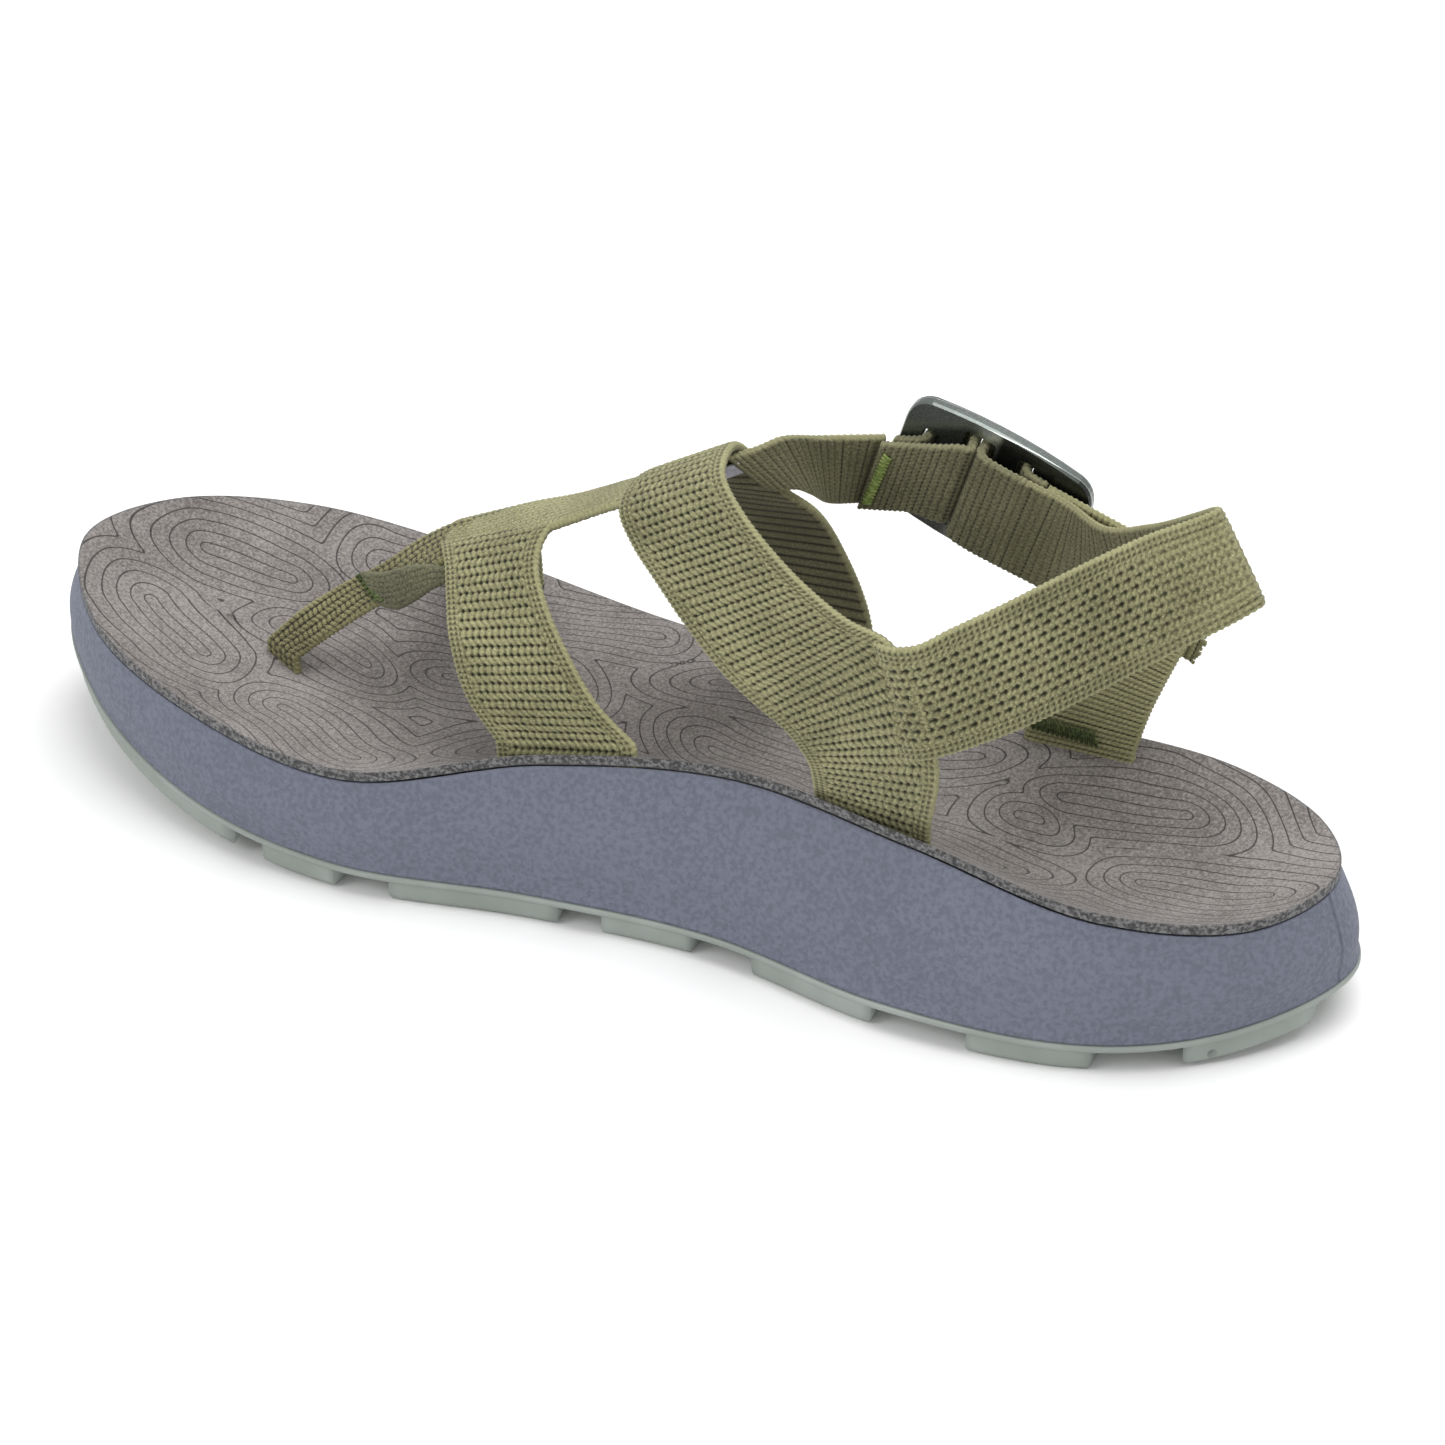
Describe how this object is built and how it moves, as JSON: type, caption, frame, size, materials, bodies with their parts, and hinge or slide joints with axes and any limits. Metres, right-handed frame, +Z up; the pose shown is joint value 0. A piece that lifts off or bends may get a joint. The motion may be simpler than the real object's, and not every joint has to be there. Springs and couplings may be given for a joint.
{
  "type": "strappy sport sandal",
  "caption": "Right sport sandal with a toe post, knit straps over the instep, an adjustable heel strap with a metal ladder buckle, and a cupped foam sole.",
  "frame": {"origin": "middle of the sole's outline on the ground, under the arch", "axes": "+X to the toe, +Y to the inner side of this right sandal, +Z up"},
  "size_m": [0.2892, 0.0972, 0.1075],
  "materials": {
    "rubber": "pale grey-green moulded rubber with small black specks, matte",
    "foam": "blue-grey moulded foam with a fine pebbled skin, matte",
    "nylon": "dark moulded nylon, matte",
    "suede": "warm grey microsuede printed with thin dark contour lines",
    "webbing": "olive woven elastic webbing, coarse and matte",
    "knit": "olive knit with a grid of small dark holes and bound edges, matte",
    "thread": "green polyester stitching, slight sheen",
    "label": "pale woven tag, blank",
    "gunmetal": "dark gunmetal anodised aluminium, satin with bright bevels"
  },
  "bodies": {
    "sole": {"outsole": "rubber", "midsole": "foam", "arch_shank": "nylon", "toe_post_anchor": "nylon", "footbed_cover": "suede", "toe_post": "webbing", "toe_post_bartack": "thread", "instep_knit": "knit", "size_tag": "label", "ankle_strap": "knit", "heel_anchor_strap": "webbing", "anchor_bartack": "thread"},
    "heel_loop": {"heel_strap": "knit", "buckle_loop": "knit", "loop_bartack": "thread"},
    "buckle": {"buckle": "gunmetal", "buckle_wrap": "webbing"},
    "tail": {"strap_tail": "webbing"}
  },
  "joints": [
    {"name": "heel_strap_swing", "type": "hinge", "parent": "sole", "child": "heel_loop", "pos_m": [-0.0695, 0.0313, 0.0605], "axis": [0.5685, -0.8158, 0.1061], "range_deg": [0, 14], "stiffness_Nm_per_rad": 0.5, "deforming": ["ankle_strap", "heel_anchor_strap"]},
    {"name": "buckle_tilt", "type": "hinge", "parent": "heel_loop", "child": "buckle", "pos_m": [-0.0399, -0.037, 0.0802], "axis": [-0.3101, 0.133, 0.9413], "range_deg": [0, 35], "deforming": ["buckle_loop", "buckle_wrap"]},
    {"name": "strap_slide", "type": "slide", "parent": "buckle", "child": "tail", "axis": [-0.9508, 0, -0.3099], "range_m": [-0.012, 0.012]}
  ]
}
